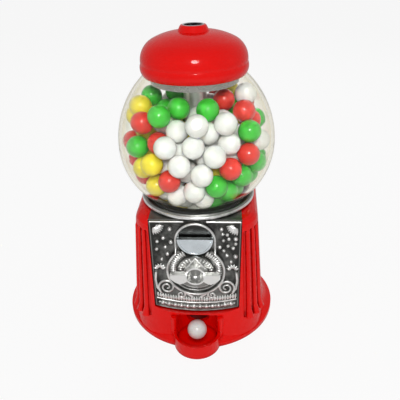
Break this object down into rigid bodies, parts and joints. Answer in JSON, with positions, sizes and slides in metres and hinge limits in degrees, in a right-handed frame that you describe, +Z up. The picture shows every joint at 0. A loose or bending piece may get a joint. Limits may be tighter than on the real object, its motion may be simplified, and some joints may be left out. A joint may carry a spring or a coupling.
{
  "type": "gumball machine",
  "caption": "Counter-top gumball machine with a red cast body, glass globe, metal coin plate with wing handle, ball cup and lift-off lid.",
  "frame": {"origin": "on the floor under the globe's axis, at the middle of the foot's underside", "axes": "+Z up along the globe's axis, -Y towards the coin plate and cup, +X to the viewer's right"},
  "size_m": [0.1264, 0.138, 0.2383],
  "materials": {
    "red_paint": "gloss",
    "pewter": "antiqued cast metal",
    "polished": "polished",
    "zinc": "satin",
    "chrome": "polished",
    "brass": "satin",
    "plastic": "matte",
    "rubber": "matte",
    "glass": "clear",
    "gum_white": "satin sugar shell",
    "gum_red": "satin sugar shell",
    "gum_green": "satin sugar shell",
    "gum_yellow": "satin sugar shell"
  },
  "bodies": {
    "machine": {"base_casting": "red_paint", "base_cover": "zinc", "rod_washer": "zinc", "rod_nut": "zinc", "tie_rod": "zinc", "centre_tube": "chrome", "front_plate": "pewter", "coin_lip": "polished", "mechanism_frame": "zinc", "rear_bushing": "brass", "front_bushing": "brass", "hopper": "pewter", "hub_post": "plastic", "globe_gasket": "rubber", "pocket_wiper": "zinc", "glass_globe": "glass", "ball_chute": "plastic", "gumballs_white": "gum_white", "gumballs_red": "gum_red", "gumballs_green": "gum_green", "gumballs_yellow": "gum_yellow", "dispensed_gumball": "gum_white"},
    "handle": {"turn_handle": "pewter", "dial_disc": "pewter", "handle_shaft": "zinc", "coin_wheel": "zinc", "drive_pinion": "brass", "shaft_clip": "zinc"},
    "wheel": {"dispensing_wheel": "plastic"},
    "lid": {"lid": "red_paint", "lock_bezel": "chrome"},
    "lock": {"lock_plug": "chrome", "lock_tail": "zinc"}
  },
  "joints": [
    {"name": "handle_turn", "type": "hinge", "parent": "machine", "child": "handle", "pos_m": [0, -0.05, 0.066], "axis": [0, 1, 0], "continuous": true},
    {"name": "wheel_turn", "type": "hinge", "parent": "machine", "child": "wheel", "pos_m": [0, 0, 0.085], "axis": [0, 0, 1], "continuous": true},
    {"name": "lid_lift", "type": "slide", "parent": "machine", "child": "lid", "axis": [0, 0, 1], "range_m": [0, 0.07]},
    {"name": "lock_turn", "type": "hinge", "parent": "lid", "child": "lock", "pos_m": [0, 0, 0.23], "axis": [0, 0, 1], "range_deg": [0, 90]}
  ],
  "couplings": [
    {"joint": "wheel_turn", "follows": "handle_turn", "ratio": 0.25}
  ]
}
